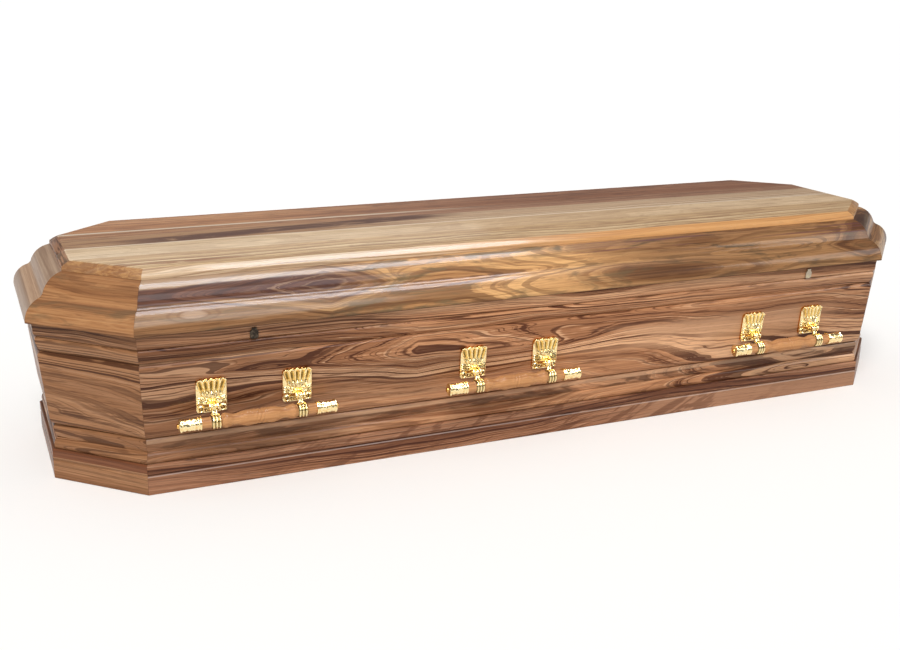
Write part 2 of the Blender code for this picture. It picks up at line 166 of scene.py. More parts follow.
class Graph:
    """Short names for the node types that a material or a world uses."""

    def __init__(self, owner, output="Principled BSDF"):
        owner.use_nodes = True
        self.owner = owner
        self.nodes = owner.node_tree.nodes
        self.links = owner.node_tree.links
        self.shader = self.nodes[output]
        self.base = None

    def node(self, kind, inputs=(), **settings):
        made = self.nodes.new(kind)
        for key, value in settings.items():
            setattr(made, key, value)
        for key, value in dict(inputs).items():
            self.feed(made.inputs[key], value)
        return made

    def feed(self, socket, value):
        if isinstance(value, bpy.types.NodeSocket):
            self.links.new(value, socket)
        else:
            socket.default_value = value

    def math(self, operation, a, b=0.0):
        return self.node("ShaderNodeMath", {0: a, 1: b}, operation=operation).outputs[0]

    def plus(self, a, b):
        return self.math("ADD", a, b)

    def minus(self, a, b):
        return self.math("SUBTRACT", a, b)

    def larger(self, a, b):
        return self.math("MAXIMUM", a, b)

    def times(self, *factors):
        product = factors[0]
        for factor in factors[1:]:
            product = self.math("MULTIPLY", product, factor)
        return product

    def vector(self, operation, a, b=(0, 0, 0)):
        return self.node("ShaderNodeVectorMath", {0: a, 1: b}, operation=operation).outputs[0]

    def length(self, a):
        return self.node("ShaderNodeVectorMath", {0: a}, operation="LENGTH").outputs["Value"]

    def axes(self, vector):
        return self.node("ShaderNodeSeparateXYZ", {0: vector}).outputs

    def noise(self, vector, scale, detail, roughness=0.5, distortion=0.0, part=0):
        """Noise, drawn out along the axes where scale is a triple."""
        if isinstance(scale, tuple):
            vector = self.node("ShaderNodeMapping", {"Vector": vector, "Scale": scale}).outputs[0]
            scale = 1.0
        inputs = {"Vector": vector, "Scale": scale, "Detail": detail,
                  "Roughness": roughness, "Distortion": distortion}
        return self.node("ShaderNodeTexNoise", inputs).outputs[part]

    def line_noise(self, w, scale=1.0, detail=3.0, roughness=0.5):
        inputs = {"W": w, "Scale": scale, "Detail": detail, "Roughness": roughness}
        return self.node("ShaderNodeTexNoise", inputs, noise_dimensions="1D").outputs[0]

    def ramp(self, factor, stops, interpolation="LINEAR"):
        made = self.node("ShaderNodeValToRGB", {"Fac": factor})
        ramp = made.color_ramp
        ramp.interpolation = interpolation
        while len(ramp.elements) < len(stops):
            ramp.elements.new(0.5)
        for element, (place, colour) in zip(ramp.elements, stops):
            element.position = place
            element.color = (*colour, 1.0)
        return made.outputs["Color"]

    def window(self, value, low, high):
        """Nought at low, one at high, smooth between them."""
        made = self.node("ShaderNodeMapRange", {"Value": value, "From Min": low, "From Max": high},
                         interpolation_type="SMOOTHSTEP")
        return made.outputs[0]

    def near(self, value, centre, half, soft):
        """One within half of centre, falling to nought over soft."""
        return self.window(self.math("ABSOLUTE", self.minus(value, centre)), half + soft, half)

    def mix(self, factor, a, b, blend="MIX"):
        """Mixes two colours, each a socket or a triple."""
        made = self.node("ShaderNodeMix", data_type="RGBA", blend_type=blend)
        for number, value in zip((0, 6, 7), (factor, a, b)):
            self.feed(made.inputs[number], (*value, 1.0) if isinstance(value, tuple) else value)
        return made.outputs[2]

    def paint(self, colour, *factors):
        """Lays a colour over the base, as strong as the product of the factors."""
        self.base = self.mix(self.times(*factors), self.base, colour)

    def tint(self, colour, *factors):
        """Multiplies the base by a colour in the same way."""
        self.base = self.mix(self.times(*factors), self.base, colour, "MULTIPLY")

    def attribute(self, name):
        return self.node("ShaderNodeAttribute", attribute_name=name).outputs["Fac"]

    def bump(self, height, strength, distance):
        inputs = {"Height": height, "Strength": strength, "Distance": distance}
        return self.node("ShaderNodeBump", inputs).outputs[0]

    def set(self, **values):
        for key, value in values.items():
            self.feed(self.shader.inputs[key.replace("_", " ")], value)


def new_finish(name):
    return Graph(bpy.data.materials.new(name))


# Wood

# Each palette: ground dark, ground middle, ground light, dark streak, light streak
PALETTES = {
    "brown": ((0.19, 0.08, 0.036), (0.36, 0.175, 0.086), (0.5, 0.285, 0.16),
              (0.062, 0.019, 0.008), (0.54, 0.33, 0.195)),
    "clip": ((0.16, 0.065, 0.027), (0.3, 0.14, 0.062), (0.4, 0.21, 0.105),
             (0.075, 0.028, 0.012), (0.44, 0.24, 0.13)),
    "clip lid": ((0.19, 0.08, 0.034), (0.32, 0.145, 0.058), (0.46, 0.24, 0.105),
                 (0.1, 0.036, 0.016), (0.52, 0.29, 0.13)),
    "golden": ((0.135, 0.06, 0.026), (0.27, 0.132, 0.057), (0.45, 0.255, 0.115),
               (0.055, 0.02, 0.01), (0.58, 0.35, 0.165)),
    "red": ((0.135, 0.05, 0.024), (0.255, 0.108, 0.052), (0.39, 0.195, 0.108),
            (0.055, 0.017, 0.009), (0.45, 0.255, 0.155)),
    "pale": ((0.46, 0.3, 0.18), (0.62, 0.45, 0.29), (0.7, 0.55, 0.39),
             (0.27, 0.15, 0.08), (0.76, 0.62, 0.46)),
    "beige": ((0.28, 0.175, 0.11), (0.37, 0.25, 0.17), (0.47, 0.34, 0.235),
              (0.2, 0.115, 0.07), (0.52, 0.39, 0.27)),
    "plain": ((0.3, 0.19, 0.1), (0.36, 0.24, 0.13), (0.43, 0.3, 0.17),
              (0.22, 0.13, 0.065), (0.5, 0.36, 0.21)),
    "bar": ((0.42, 0.195, 0.078), (0.52, 0.255, 0.105), (0.58, 0.3, 0.13),
            (0.34, 0.135, 0.046), (0.64, 0.335, 0.145)),
}
SMUDGE = (0.125, 0.08, 0.042)
KNOT_HEART = (0.06, 0.018, 0.01)
GROOVE_SHADE = (0.035, 0.013, 0.006)
EULER = 2.718


def timber(name, angle, palette, seed, pith=(0.1, 0.05), rings=26.0, wander=0.05, tilt=0.0,
           knots=(), smudge=0.0, streaks=0.85, lights=0.6, roughness=0.36, coat=0.18, dress=None):
    """A board cut from a log: rings about a pith line that wanders, with knots, streaks and pores.

    pith is the log's centre beyond the board, as (out, up). A knot is (along, out, up, size, lift,
    darkness of its heart, narrowing to the left, narrowing to the right).
    """
    g = new_finish(name)
    place = g.node("ShaderNodeTexCoord").outputs["Object"]
    turned = g.node("ShaderNodeVectorRotate", {"Vector": place, "Angle": -angle}, rotation_type="Z_AXIS")
    whole = turned.outputs[0]
    board = g.vector("ADD", whole, plank_shift(g, whole)) if dress is dress_planks else whole
    seeded = g.vector("ADD", board, (seed * 3.7, seed * 1.9, seed * 2.3))
    bent = board
    for scale, strength in (((1.3, 3.6, 3.6), wander), ((6.0, 26.0, 26.0), wander * 0.1)):
        drift = g.vector("SUBTRACT", g.noise(seeded, scale, 2.0, part="Color"), (0.5, 0.5, 0.5))
        bent = g.vector("ADD", bent, g.vector("MULTIPLY", drift, (0, strength, strength)))
    across = g.vector("SUBTRACT", bent, (0, pith[0], pith[1]))
    radius = g.length(g.vector("MULTIPLY", across, (0, 1, 1)))
    if tilt:
        radius = g.plus(radius, g.times(g.axes(board)[0], tilt))
    dark_knots = None
    for along_at, out_at, up_at, size, lift, core, left, right in knots:
        away = g.vector("SUBTRACT", bent, (along_at, out_at, up_at))
        x = g.axes(away)[0]
        pointed = g.larger(g.times(x, -left), g.times(x, right))
        rise = g.length(g.vector("MULTIPLY", away, (0, 1, 1)))
        reach = g.math("DIVIDE", g.plus(pointed, rise), size)
        swell = g.math("POWER", EULER, g.times(reach, reach, -1.0))
        radius = g.plus(radius, g.times(swell, lift))
        heart = g.times(g.window(reach, 0.24, 0.05), core)
        dark_knots = heart if dark_knots is None else g.larger(dark_knots, heart)
    radius = g.plus(radius, seed)
    broad = g.line_noise(radius, rings, 2.0, 0.5)
    medium = g.line_noise(radius, rings * 4.6, 3.5, 0.6)
    fine = g.line_noise(g.plus(radius, 3.0), rings * 15.0, 2.0, 0.6)
    calm = g.line_noise(g.plus(radius, 7.0), rings * 0.6, 1.0)
    stretch = g.noise(seeded, (1.6, 8.0, 8.0), 2.0)
    busy = g.plus(g.times(calm, 0.55), g.times(stretch, 0.45))
    busy = g.plus(g.times(g.window(busy, 0.41, 0.52), 0.65), 0.35)
    fibre = g.noise(seeded, (5.0, 330.0, 330.0), 2.0, 0.6)
    ground_dark, ground, ground_light, dark, light = PALETTES[palette]
    tone = g.plus(g.times(broad, 0.75), g.times(fibre, 0.25))
    g.base = g.ramp(tone, [(0.36, ground_dark), (0.5, ground), (0.66, ground_light)])
    line = g.plus(g.times(medium, 0.8), g.times(fibre, 0.2))
    g.paint(light, g.window(line, 0.54, 0.6), busy, lights)
    g.paint(dark, g.window(line, 0.475, 0.425), busy, streaks)
    g.paint(dark, g.window(fine, 0.47, 0.415), busy, streaks * 0.8)
    grain = g.noise(seeded, (3.0, 430.0, 430.0), 2.0, 0.6)
    shade = g.ramp(grain, [(0.36, (0.8, 0.77, 0.75)), (0.64, (1.16, 1.17, 1.18))])
    g.tint(shade, min(streaks, 0.7))
    dash = g.noise(seeded, (9.0, 130.0, 130.0), 3.0, 0.6)
    g.paint(dark, g.window(dash, 0.57, 0.68), streaks * 0.5)
    if smudge:
        patch = g.noise(seeded, (6.0, 30.0, 30.0), 4.0, 0.65, 0.8)
        g.paint(SMUDGE, g.window(patch, 0.5, 0.66), smudge)
    if dress:
        dress(g, whole)
    if dark_knots is not None:
        g.paint(KNOT_HEART, dark_knots, 0.85)
    # Painted shade in the profile's recesses, and a painted shadow along the wall's top edge under the lid
    g.paint(GROOVE_SHADE, g.attribute("groove_painted_shade"), 0.75)
    open_pores = g.window(g.noise(seeded, (40.0, 800.0, 800.0), 1.0), 0.6, 0.72)
    g.paint(dark, open_pores, 0.25)
    gloss = g.plus(g.times(g.noise(seeded, 9.0, 3.0, 0.6), 0.14), roughness)
    bump = g.bump(g.minus(g.times(fine, 0.3), g.times(open_pores, 0.5)), 0.12, 0.0004)
    g.set(Base_Color=g.base, Roughness=gloss, Normal=bump, Specular_IOR_Level=0.08,
          Coat_Weight=coat, Coat_Roughness=0.1)
    return g.owner


# Planks of the lid top from the front: where each starts, its offset in the log, and the tint and the
# strength of its curl at the left and at the right end
PLANK_STARTS = (-0.3, -0.12, -0.03, 0.055, 0.112)
PLANK_OFFSETS = ((0.1, 0.7, 0.2), (0.5, 0.2, 0.6), (0.8, 0.5, 0.1), (0.3, 0.9, 0.4), (0.9, 0.6, 0.3))
TINTS_LEFT = ((1.02, 1.0, 0.88), (1.0, 0.99, 0.93), (0.72, 0.59, 0.48), (0.7, 0.5, 0.39),
              (0.9, 0.62, 0.47))
TINTS_RIGHT = ((0.96, 0.92, 0.79), (0.96, 0.9, 0.8), (0.98, 0.96, 0.95), (0.64, 0.46, 0.41),
               (0.56, 0.35, 0.29))
CURLS_LEFT = (0.3, 0.1, 0.55, 0.6, 0.4)
CURLS_RIGHT = (0.35, 0.2, 0.1, 0.45, 0.7)
TOP_SPAN = 0.5


def by_plank(g, board, colours):
    """Steps from each plank's colour or number to the next across the board."""
    places = [max(start / TOP_SPAN + 0.5, 0.0) for start in PLANK_STARTS]
    colours = [colour if isinstance(colour, tuple) else (colour,) * 3 for colour in colours]
    across = g.plus(g.math("DIVIDE", g.axes(board)[1], TOP_SPAN), 0.5)
    return g.ramp(across, list(zip(places, colours)), "CONSTANT")


def plank_shift(g, board):
    """Gives each glued plank of the lid top its own place in the log."""
    return g.vector("MULTIPLY", by_plank(g, board, PLANK_OFFSETS), (2.0, 0.6, 0.6))


def dress_planks(g, board):
    """Tints the planks, differently at the left and the right end, and the bevels round the top."""
    bare = g.base
    x, y, z = g.axes(board)
    shift = g.minus(g.noise(board, (2.0, 9.0, 9.0), 3.0), 0.5)
    along = g.plus(x, g.times(shift, 0.9))
    rightward = g.window(along, -0.55, 0.1)
    tints = g.mix(rightward, by_plank(g, board, TINTS_LEFT), by_plank(g, board, TINTS_RIGHT))
    g.tint(tints, 1.0)
    curl = g.noise(board, (6.0, 48.0, 48.0), 4.0, 0.65, 1.4)
    curls = g.mix(rightward, by_plank(g, board, CURLS_LEFT), by_plank(g, board, CURLS_RIGHT))
    g.paint((0.165, 0.072, 0.042), g.window(curl, 0.5, 0.6), curls)
    drifting = g.minus(y, g.times(g.plus(x, 0.6), 0.07))
    drifting = g.plus(drifting, g.times(shift, 0.03))
    flame = g.times(g.near(drifting, 0.012, 0.016, 0.014), g.window(along, 0.0, -0.25),
                    g.window(x, -0.9, -0.72), g.window(curl, 0.26, 0.46))
    g.paint((0.105, 0.043, 0.027), flame, 0.96)
    patch = g.times(g.near(along, -0.76, 0.08, 0.1), g.near(y, -0.194, 0.007, 0.01))
    g.paint((0.23, 0.09, 0.042), patch, g.window(curl, 0.4, 0.52), 0.75)
    hair = g.noise(board, (3.0, 240.0, 240.0), 3.0, 0.7, 0.3)
    g.paint((0.26, 0.15, 0.075), g.window(hair, 0.54, 0.62), g.window(y, 0.0, -0.02), 0.34)
    pale_joint = g.larger(g.near(y, -0.0265, 0.002, 0.0015),
                          g.times(g.near(y, 0.104, 0.003, 0.004), g.window(x, 0.1, -0.3)))
    g.paint((0.8, 0.68, 0.53), pale_joint, 0.75)
    bevel = g.window(z, HEIGHT - 0.0008, HEIGHT - 0.0016)
    wide = g.math("ABSOLUTE", x)
    mitre = 0.7312
    before_corner = g.window(g.plus(wide, g.times(y, 0.4)), mitre + 0.0004, mitre - 0.0004)
    front = g.times(bevel, g.window(y, -0.218, -0.222), before_corner)
    gold_edge = g.mix(0.45, g.mix(1.0, bare, (0.95, 0.66, 0.38), "MULTIPLY"), (0.66, 0.34, 0.13))
    g.paint(g.mix(g.window(x, -0.5, 0.2), bare, gold_edge), front)
    ends = g.minus(wide, TOP_LENGTH / 2)
    beyond = g.minus(g.math("ABSOLUTE", y), g.times(g.larger(ends, 0.0), 0.41))
    corner_y = TOP_WIDTH / 2 - CLIP_ACROSS
    at_end = g.window(ends, -0.0004, 0.0004)
    end_bevel = g.times(bevel, at_end, g.window(beyond, corner_y + 0.0004, corner_y))
    rest = g.minus(g.minus(bevel, front), end_bevel)
    strip = g.noise(board, (30.0, 30.0, 90.0), 3.0, 0.6, 1.5)
    clip_wood = g.mix(g.window(strip, 0.42, 0.62), (0.43, 0.215, 0.08), (0.26, 0.11, 0.042))
    stripe = g.noise(board, (150.0, 9.0, 150.0), 3.0, 0.6)
    end_wood = g.mix(g.window(stripe, 0.44, 0.58), (0.3, 0.145, 0.08), (0.075, 0.03, 0.018))
    g.paint(clip_wood, rest, 0.85)
    g.paint(end_wood, end_bevel, 0.85)


def dress_front_wall(g, board):
    """The front wall goes from dark at the left to pale tan at the right, with a calm tan band."""
    x, _, z = g.axes(board)
    shift = g.minus(g.noise(board, (2.5, 14.0, 14.0), 3.0), 0.5)
    along = g.plus(x, g.times(shift, 1.2))
    g.tint((0.82, 0.78, 0.76), g.window(along, -0.35, -0.75))
    g.tint((1.45, 1.42, 1.36), g.window(along, -0.55, -0.1))
    # Painted bluish sheen on the frieze and the top of its bead, strongest at the left
    frieze = g.window(z, RIM_HEIGHT - 0.034, RIM_HEIGHT - 0.028)
    g.tint((1.14, 1.16, 1.18), frieze, g.window(x, 0.1, -0.4))
    high = g.plus(z, g.times(shift, 0.05))
    band = g.times(g.near(high, 0.192, 0.018, 0.024), g.window(along, 0.0, 0.24), g.window(x, 0.82, 0.62))
    g.paint((0.54, 0.3, 0.165), band, 0.78)
    g.tint((0.74, 0.74, 0.75), g.window(along, 0.1, 0.8))
    # Dark blotches on the lower part of the foot bead: partly blotchy figure, partly painted shade under
    # the roll
    blotch = g.noise(board, (9.0, 60.0, 60.0), 3.0, 0.6, 0.6)
    foot_bead_blotches_and_shade = g.near(z, 0.0915, 0.007, 0.003)
    g.paint((0.1, 0.045, 0.022), foot_bead_blotches_and_shade, g.window(blotch, 0.44, 0.56), 0.75)
    # Painted highlight along the top of the foot bead
    foot_bead_painted_highlight = g.near(z, 0.104, 0.003, 0.003)
    g.paint((0.5, 0.33, 0.21), foot_bead_painted_highlight, 0.4)


def dress_clip_skirt(g, board):
    """The upper band of the clip skirt is a dark red strip."""
    z = g.axes(board)[2]
    g.tint((0.5, 0.36, 0.33), g.window(z, PLINTH_HEIGHT + 0.006, PLINTH_HEIGHT + 0.0075))


def dress_front_skirt(g, board):
    """Slanting dark flames at the left and the middle, a calm tan plinth at the right."""
    x, y, z = g.axes(board)
    plinth = g.window(z, PLINTH_HEIGHT + 0.002, PLINTH_HEIGHT)
    g.paint((0.44, 0.24, 0.14), plinth, g.window(x, 0.0, 0.45), 0.6)
    g.tint((1.16, 1.18, 1.18), plinth, g.window(x, 0.45, 0.1))
    g.paint((0.33, 0.16, 0.092), plinth, g.window(x, -0.5, -0.85), 0.45)
    slanted = g.node("ShaderNodeCombineXYZ", {0: g.minus(x, g.times(z, 1.8)), 1: z, 2: y}).outputs[0]
    figure = g.noise(slanted, (22.0, 16.0, 16.0), 3.0, 0.6, 0.4)
    flame = g.times(g.window(figure, 0.52, 0.6), g.window(x, 0.75, 0.3), g.window(x, -0.72, -0.45))
    g.paint((0.125, 0.045, 0.022), flame, 0.62)
    # Painted highlight along the plinth's rounded top edge
    edge = g.near(z, PLINTH_HEIGHT - 0.0008, 0.0007, 0.0006)
    g.paint((0.56, 0.45, 0.4), edge, 0.4)


def dress_end_lid(g, board):
    """A cream stripe along the hollow between the rolls."""
    g.tint((1.3, 1.28, 1.24), g.near(g.axes(board)[2], 0.358, 0.004, 0.005))


# Centres of the knot and the pale eye on the front moulding, as (along, up)
LID_KNOT = (-0.49, 0.374)
LID_EYE = (-0.749, 0.349)


def dress_front_lid(g, board):
    """Purple-brown and cream bands at the left of the lid's front moulding, gold at the right."""
    x, _, z = g.axes(board)
    shift = g.minus(g.noise(board, (3.5, 24.0, 24.0), 4.0, 0.6), 0.5)
    high = g.plus(z, g.times(shift, 0.022))
    left = g.window(g.plus(x, g.times(shift, 0.5)), -0.36, -0.62)
    purple = g.times(left, g.near(high, 0.3785, 0.0115, 0.0045))
    low_cream = g.times(g.near(high, 0.345, 0.009, 0.005), 0.3)
    top_cream = g.times(g.window(high, 0.389, 0.395), 0.55)
    g.paint((0.5, 0.35, 0.225), left, g.larger(top_cream, low_cream))
    g.tint((0.42, 0.3, 0.33), purple)
    g.paint((0.125, 0.062, 0.048), purple, 0.3)
    knot_x, knot_z = LID_KNOT
    drop = g.minus(high, knot_z)
    before = g.times(g.larger(g.minus(knot_x, x), 0.0), 0.16)
    after = g.times(g.larger(g.minus(x, knot_x), 0.0), 0.2)
    pointed = g.plus(before, g.math("ABSOLUTE", drop))
    rounded = g.math("SQRT", g.plus(g.times(after, after), g.times(drop, drop)))
    leftward = g.window(x, knot_x + 0.01, knot_x - 0.01)
    curl = g.noise(board, (9.0, 70.0, 70.0), 3.0, 0.6)
    reach = g.plus(g.mix(leftward, rounded, pointed), g.times(g.minus(curl, 0.5), 0.012))
    ring = g.line_noise(reach, 260.0, 2.0)
    within = g.times(g.window(reach, 0.03, 0.016), g.window(x, knot_x + 0.1, knot_x + 0.02))
    rings = g.times(g.window(ring, 0.5, 0.6), within, g.window(reach, 0.004, 0.008))
    g.paint((0.4, 0.245, 0.15), rings, 0.55)
    g.paint((0.085, 0.035, 0.028), g.window(ring, 0.49, 0.41), within, 0.6)
    g.paint((0.07, 0.028, 0.022), g.window(reach, 0.0075, 0.003), 0.8)
    from_eye = g.vector("SUBTRACT", board, (LID_EYE[0], 0, LID_EYE[1]))
    eye = g.plus(g.length(g.vector("MULTIPLY", from_eye, (0.25, 0, 1))), g.times(shift, 0.006))
    g.paint((0.6, 0.43, 0.32), g.window(eye, 0.0068, 0.003), 0.42)
    rim = g.larger(g.near(eye, 0.0062, 0.0003, 0.001), g.near(eye, 0.011, 0.0003, 0.0012))
    g.paint((0.2, 0.105, 0.062), rim, 0.38)
    g.tint((1.46, 1.44, 1.32), g.window(x, -0.48, -0.3))
    g.tint((0.52, 0.48, 0.47), g.window(x, 0.0, 0.3))
    vein = g.noise(board, (2.2, 120.0, 120.0), 3.0, 0.6, 0.3)
    veins = g.times(g.window(vein, 0.53, 0.6), g.window(high, 0.378, 0.386), g.window(x, 0.0, 0.12))
    g.paint((0.125, 0.05, 0.048), veins, 0.65)


# Metal

GOLD_PALE = (1.0, 0.83, 0.46)
GOLD_DEEP = (0.94, 0.66, 0.27)
GOLD_PAINTED_SHADE = (0.2, 0.135, 0.04)
GOLD_WORN_EDGE_AND_REFLECTION = (0.74, 0.38, 0.08)


def gilt(name):
    g = new_finish(name)
    place = g.node("ShaderNodeTexCoord").outputs["Object"]
    mottled = g.noise(place, 240.0, 2.0)
    g.base = g.mix(g.window(mottled, 0.45, 0.65), GOLD_PALE, GOLD_DEEP)
    # Painted shade, dark olive, in the hollows of the plate's relief, the collar's rib grooves and the
    # neck's groove
    g.paint(GOLD_PAINTED_SHADE, g.attribute("cavity_painted_shade"), 0.9)
    # Orange where the edge attribute is high: partly worn plating, partly a painted warm reflection on the
    # plate's sides
    g.paint(GOLD_WORN_EDGE_AND_REFLECTION, g.window(g.attribute("edge"), 0.05, 0.35))
    rough = g.plus(g.times(mottled, 0.2), 0.09)
    bump = g.bump(g.noise(place, 300.0, 1.0), 0.55, 0.0006)
    g.set(Base_Color=g.base, Roughness=rough, Normal=bump, Metallic=1.0)
    return g.owner


def bronze(name, low, high):
    g = new_finish(name)
    place = g.node("ShaderNodeTexCoord").outputs["Object"]
    cloud = g.noise(place, 120.0, 3.0, 0.6)
    g.base = g.mix(g.window(cloud, 0.45, 0.7), low, high)
    rough = g.plus(g.times(cloud, 0.25), 0.18)
    bump = g.bump(cloud, 0.2, 0.0003)
    g.set(Base_Color=g.base, Roughness=rough, Normal=bump, Metallic=0.85)
    return g.owner


# Plan of the coffin

def plan_points():
    x = TOP_LENGTH / 2
    y = TOP_WIDTH / 2
    clipped_x = x - CLIP_ALONG
    clipped_y = y - CLIP_ACROSS
    right = [(clipped_x, -y), (x, -clipped_y), (x, clipped_y), (clipped_x, y)]
    left = [(-px, -py) for px, py in right]
    return [Vector(point) for point in [left[3]] + right + left[:3]]


def side_direction(side):
    points = plan_points()
    return (points[(side + 1) % len(SIDES)] - points[side % len(SIDES)]).normalized()


def side_normal(side):
    along = side_direction(side)
    return Vector((along.y, -along.x))


def corner(index, out):
    before = side_normal(index - 1)
    after = side_normal(index)
    return plan_points()[index % len(SIDES)] + (before + after) * out / (1 + before.dot(after))


def half_turn(index):
    return side_direction(index - 1).angle(side_direction(index)) / 2


def arc(start, end, rise, steps):
    """Points after start, up to and with end, on an arc that rises to the left of the chord."""
    a = Vector(start)
    b = Vector(end)
    chord = b - a
    half = chord.length / 2
    along = chord.normalized()
    left = Vector((-along.y, along.x))
    radius = (half * half + rise * rise) / (2 * rise)
    centre = (a + b) / 2 + left * (rise - radius)
    spread = math.asin(half / radius)
    points = []
    for step in range(1, steps + 1):
        angle = spread * (2 * step / steps - 1)
        points.append(tuple(centre + (along * math.sin(angle) + left * math.cos(angle)) * radius))
    return points


def bend(start, middle, end, steps):
    """Points between start and end on a curve drawn towards middle."""
    a, b, c = Vector(start), Vector(middle), Vector(end)
    places = [step / steps for step in range(1, steps)]
    return [tuple(a * (1 - t) ** 2 + b * 2 * t * (1 - t) + c * t ** 2) for t in places]


def softened(points, round_off=EDGE_ROUND, sharp=math.radians(28)):
    """A closed outline with its sharp corners eased by a small round."""
    count = len(points)
    eased = []
    for i in range(count):
        before = Vector(points[i - 1])
        here = Vector(points[i])
        after = Vector(points[(i + 1) % count])
        if (here - before).angle(after - here) < sharp:
            eased.append(tuple(here))
            continue
        back = (before - here).normalized() * min(round_off, (before - here).length / 3)
        ahead = (after - here).normalized() * min(round_off, (after - here).length / 3)
        for t in (0.0, 0.33, 0.67, 1.0):
            eased.append(tuple(here + back * (1 - t) ** 2 + ahead * t ** 2))
    return eased


def wall_out(up):
    return WALL_FOOT_OUT + (WALL_RIM_OUT - WALL_FOOT_OUT) * up / RIM_HEIGHT


def splay():
    return math.atan((WALL_RIM_OUT - WALL_FOOT_OUT) / RIM_HEIGHT)


def wall_inner(up):
    return wall_out(up) - WALL_THICKNESS / math.cos(splay())


def wall_profile():
    def face(up, depth=0.0):
        return (wall_out(up) - depth, up)

    frieze = RIM_HEIGHT - FRIEZE_BAND
    panel_groove = frieze - FRIEZE_BEAD
    lower = SKIRT_HEIGHT + LOWER_BEAD
    foot = lower + FOOT_BEAD
    band_edge = face(frieze + FRIEZE_ROUND)
    panel_foot = face(foot + FOOT_ROUND)
    outline = [face(RIM_HEIGHT), face(RIM_HEIGHT - RIM_SHADE), band_edge]
    outline += arc(band_edge, face(frieze, FRIEZE_GROOVE), EDGE_RISE, 6)
    bead_lip = face(frieze - BEAD_LIP_DOWN, FRIEZE_GROOVE - BEAD_LIP_OUT)
    outline += arc(face(frieze, FRIEZE_GROOVE), bead_lip, LIP_RISE, 10)
    outline += arc(bead_lip, face(panel_groove, PANEL_GROOVE), FRIEZE_SAG, 10)
    outline += arc(face(panel_groove, PANEL_GROOVE), face(panel_groove - PANEL_ROUND), EDGE_RISE, 8)
    outline += [panel_foot]
    outline += arc(panel_foot, face(foot, FOOT_GROOVE), EDGE_RISE, 8)
    foot_lip = face(foot - BEAD_LIP_DOWN, FOOT_GROOVE - BEAD_LIP_OUT)
    outline += arc(face(foot, FOOT_GROOVE), foot_lip, LIP_RISE, 10)
    outline += arc(foot_lip, face(lower, FOOT_GROOVE), FOOT_SAG, 10)
    outline += arc(face(lower, FOOT_GROOVE), face(SKIRT_HEIGHT), BEAD_RISE, 14)
    outline += [face(0.0)]
    return outline + [(wall_inner(0.0), 0.0), (wall_inner(RIM_HEIGHT), RIM_HEIGHT)]


def skirt_profile():
    back = JOINT_GAP / math.cos(splay())
    ledge = wall_out(SKIRT_HEIGHT) + SKIRT_LEDGE
    face = ledge + SKIRT_FACE
    groove_top = PLINTH_HEIGHT + 2 * QUIRK
    outline = [(ledge, SKIRT_HEIGHT)]
    outline += arc((ledge, SKIRT_HEIGHT), (face, SKIRT_HEIGHT - 2 * SKIRT_FACE), SKIRT_RISE, 4)
    outline += [(face, groove_top), (face - QUIRK, groove_top - QUIRK / 2), (face - QUIRK, PLINTH_HEIGHT)]
    outline += arc((face - QUIRK, PLINTH_HEIGHT), (face, PLINTH_HEIGHT - PLINTH_ROUND), PLINTH_RISE, 6)
    outline += [(face, 0.0), (wall_out(0.0) + back, 0.0)]
    return outline + [(wall_out(SKIRT_HEIGHT) + back, SKIRT_HEIGHT)]


def moulding_profile():
    top = HEIGHT - LID_BOARD - JOINT_GAP
    foot = RIM_HEIGHT + JOINT_GAP
    shoulder = (LID_NOSE_OUT, top)
    valley = (LID_VALLEY_OUT, RIM_HEIGHT + LID_VALLEY_RISE)
    inner_top = LID_NOSE_OUT - LID_LEDGE
    inner_foot = LID_FOOT_OUT - LID_FOOT_WIDTH
    upper = [shoulder] + arc(shoulder, valley, UPPER_ROLL, 28)
    lower = arc(valley, (LID_FOOT_OUT, foot), LOWER_ROLL, 28)
    upper = [point for point in upper if math.dist(point, valley) > VALLEY_EASE]
    lower = [point for point in lower if math.dist(point, valley) > VALLEY_EASE]
    outline = upper + bend(upper[-1], valley, lower[0], 10) + lower
    outline += [(inner_foot, foot), (inner_foot, foot + INNER_STEP)]
    return outline + [(inner_top, top - INNER_STEP), (inner_top, top)]


def panel_levels():
    bevel = (LID_BEVEL_OUT, HEIGHT - LID_BEVEL_DROP)
    nose = (LID_NOSE_OUT - QUIRK / 4, HEIGHT - LID_NOSE_DROP)
    foot = (LID_NOSE_OUT, HEIGHT - LID_BOARD)
    outline = [(-EDGE_ROUND, HEIGHT), (EDGE_ROUND, HEIGHT - EDGE_ROUND * 0.6)]
    outline += arc(outline[-1], bevel, BEVEL_RISE, 4)
    outline += arc(bevel, nose, BEVEL_RISE, 4)
    return outline + [foot]


def place(name, mesh, body, slot, node, matrix=Matrix()):
    """Puts a piece in the scene, on its body, in place of its CAD node."""
    piece = put_in_scene(name, mesh)
    piece.matrix_world = matrix
    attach(piece, body)
    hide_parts(node)


def skin(bm, rings, solid=True):
    """Quads between neighbouring rings, with both ends filled; between open rows if not solid."""
    for a, b in zip(rings, rings[1:]):
        for i in range(len(a) if solid else len(a) - 1):
            j = (i + 1) % len(a)
            bm.faces.new((a[i], a[j], b[j], b[i]))
    if solid:
        bm.faces.new(rings[0])
        bm.faces.new(rings[-1])


def finished_mesh(bm, name, sharp=32):
    bmesh.ops.recalc_face_normals(bm, faces=bm.faces)
    mesh = bpy.data.meshes.new(name)
    bm.to_mesh(mesh)
    bm.free()
    mesh.shade_smooth()
    mesh.set_sharp_from_angle(angle=math.radians(sharp))
    return mesh


def hollows(profile):
    """One where a closed outline turns sharply inward, in a recess that gets painted shade, else nought."""
    marks = []
    for i in range(len(profile)):
        before = Vector(profile[i]) - Vector(profile[i - 1])
        after = Vector(profile[(i + 1) % len(profile)]) - Vector(profile[i])
        turn = before.x * after.y - before.y * after.x
        marks.append(1.0 if turn > 0 and before.angle(after) > HOLLOW_ANGLE else 0.0)
    return marks


